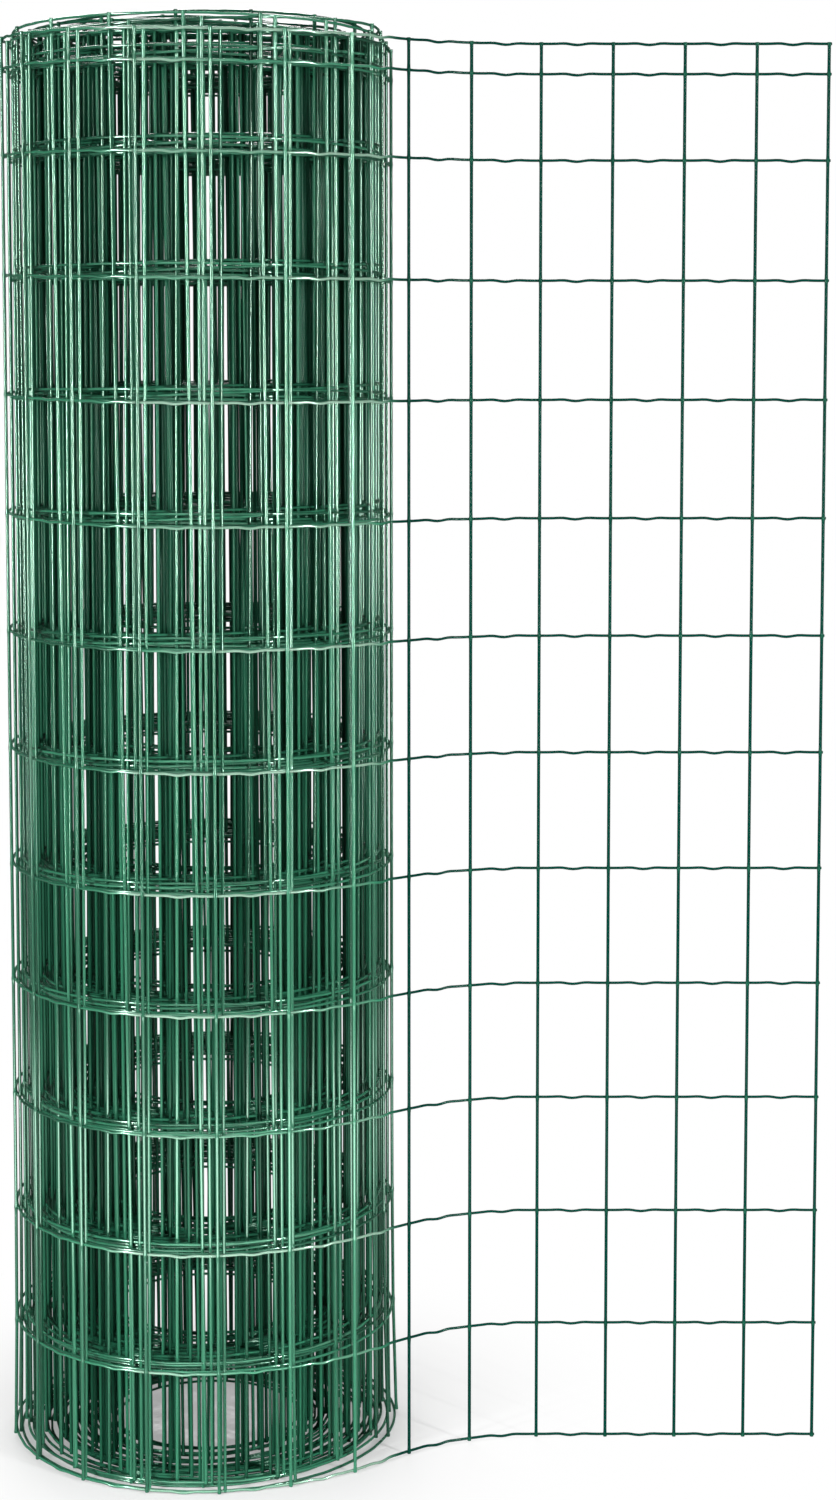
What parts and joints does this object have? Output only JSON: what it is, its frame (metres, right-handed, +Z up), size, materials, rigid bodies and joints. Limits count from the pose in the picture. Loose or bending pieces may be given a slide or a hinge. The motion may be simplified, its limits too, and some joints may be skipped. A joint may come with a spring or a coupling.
{
  "type": "roll of wire fencing",
  "caption": "Upright roll of green coated welded wire mesh fencing with a round bore, its free end opened out flat beside it.",
  "frame": {"origin": "on the roll's axis at floor level", "axes": "+Z up along the roll's axis, +X towards the cut edge of the free end, -Y to the front where the free end leaves the roll"},
  "size_m": [0.6961, 0.3319, 1.2],
  "materials": {
    "coated_wire": "semi-gloss green PVC coating on steel wire"
  },
  "bodies": {
    "root": {"wound_roll": "coated_wire", "bent_end": "coated_wire", "flat_end": "coated_wire"}
  },
  "joints": []
}
